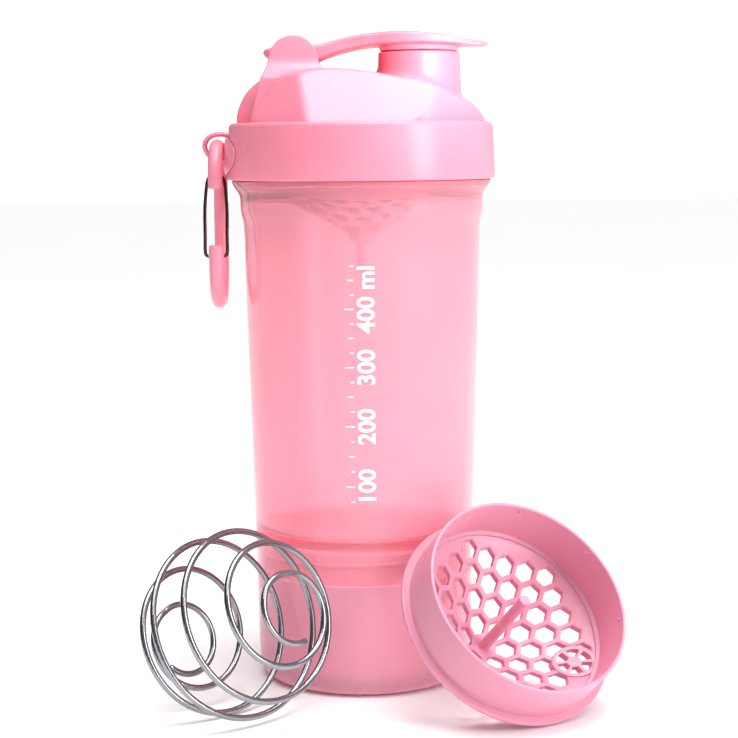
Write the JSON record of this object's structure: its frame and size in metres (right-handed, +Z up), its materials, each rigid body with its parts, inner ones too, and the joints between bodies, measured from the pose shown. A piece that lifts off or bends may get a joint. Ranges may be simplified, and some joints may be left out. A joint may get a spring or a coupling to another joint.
{
  "type": "protein shaker bottle",
  "caption": "Two-chamber shaker bottle with flip-cap screw lid, side clip, fitted and loose cone strainers, and a wire whisk ball beside it.",
  "frame": {"origin": "centre of the underside, on the surface that the bottle stands on", "axes": "+Z up along the bottle; +X from the lid's hinge to the spout; -Y towards the front, where the strainer and whisk lie"},
  "size_m": [0.1658, 0.14, 0.2335],
  "materials": {
    "clear_pink": "translucent moulded plastic, lightly satin",
    "pink_shell": "opaque moulded plastic, fine satin",
    "strainer_pink": "thin moulded plastic, slightly translucent",
    "soft_seal": "silicone",
    "steel": "polished stainless wire",
    "gate_wire": "dark spring wire"
  },
  "bodies": {
    "compartment": {"storage_compartment": "clear_pink"},
    "tumbler": {"tumbler": "clear_pink"},
    "seal": {"lid_seal": "soft_seal"},
    "lid": {"lid": "pink_shell", "hinge_pin": "pink_shell", "carry_loop": "pink_shell"},
    "cap": {"flip_cap": "pink_shell", "cap_seal": "soft_seal"},
    "clip": {"carabiner_frame": "pink_shell"},
    "gate": {"carabiner_gate": "gate_wire"},
    "strainer": {"fitted_strainer": "strainer_pink"},
    "loose_strainer": {"loose_strainer": "strainer_pink"},
    "whisk": {"whisk_ball": "steel"}
  },
  "joints": [
    {"name": "tumbler_lift", "type": "slide", "parent": "compartment", "child": "tumbler", "axis": [0, 0, 1], "range_m": [0, 0.06]},
    {"name": "lid_lift", "type": "slide", "parent": "tumbler", "child": "seal", "axis": [0, 0, 1], "range_m": [0, 0.1]},
    {"name": "strainer_lift", "type": "slide", "parent": "tumbler", "child": "strainer", "axis": [0, 0, 1], "range_m": [0, 0.05]},
    {"name": "lid_turn", "type": "hinge", "parent": "seal", "child": "lid", "pos_m": [0, 0, 0.19], "axis": [0, 0, 1], "range_deg": [0, 400]},
    {"name": "cap_open", "type": "hinge", "parent": "lid", "child": "cap", "pos_m": [-0.0242, 0, 0.2247], "axis": [0, -1, 0], "range_deg": [0, 135]},
    {"name": "clip_swing", "type": "hinge", "parent": "lid", "child": "clip", "pos_m": [-0.0518, 0, 0.1893], "axis": [1, 0, 0], "range_deg": [-8, 12]},
    {"name": "gate_open", "type": "hinge", "parent": "clip", "child": "gate", "pos_m": [-0.0518, -0.0124, 0.1548], "axis": [-1, 0, 0], "range_deg": [0, 26], "stiffness_Nm_per_rad": 0.01, "springref_deg": -5.73},
    {"name": "loose_strainer_lift", "type": "slide", "parent": "compartment", "child": "loose_strainer", "axis": [0.3, -0.5, 0.8124], "range_m": [0, 0.08]},
    {"name": "whisk_lift", "type": "slide", "parent": "compartment", "child": "whisk", "axis": [0, 0, 1], "range_m": [0, 0.06]}
  ],
  "couplings": [
    {"joint": "strainer_lift", "follows": "lid_lift", "ratio": 0.5}
  ]
}
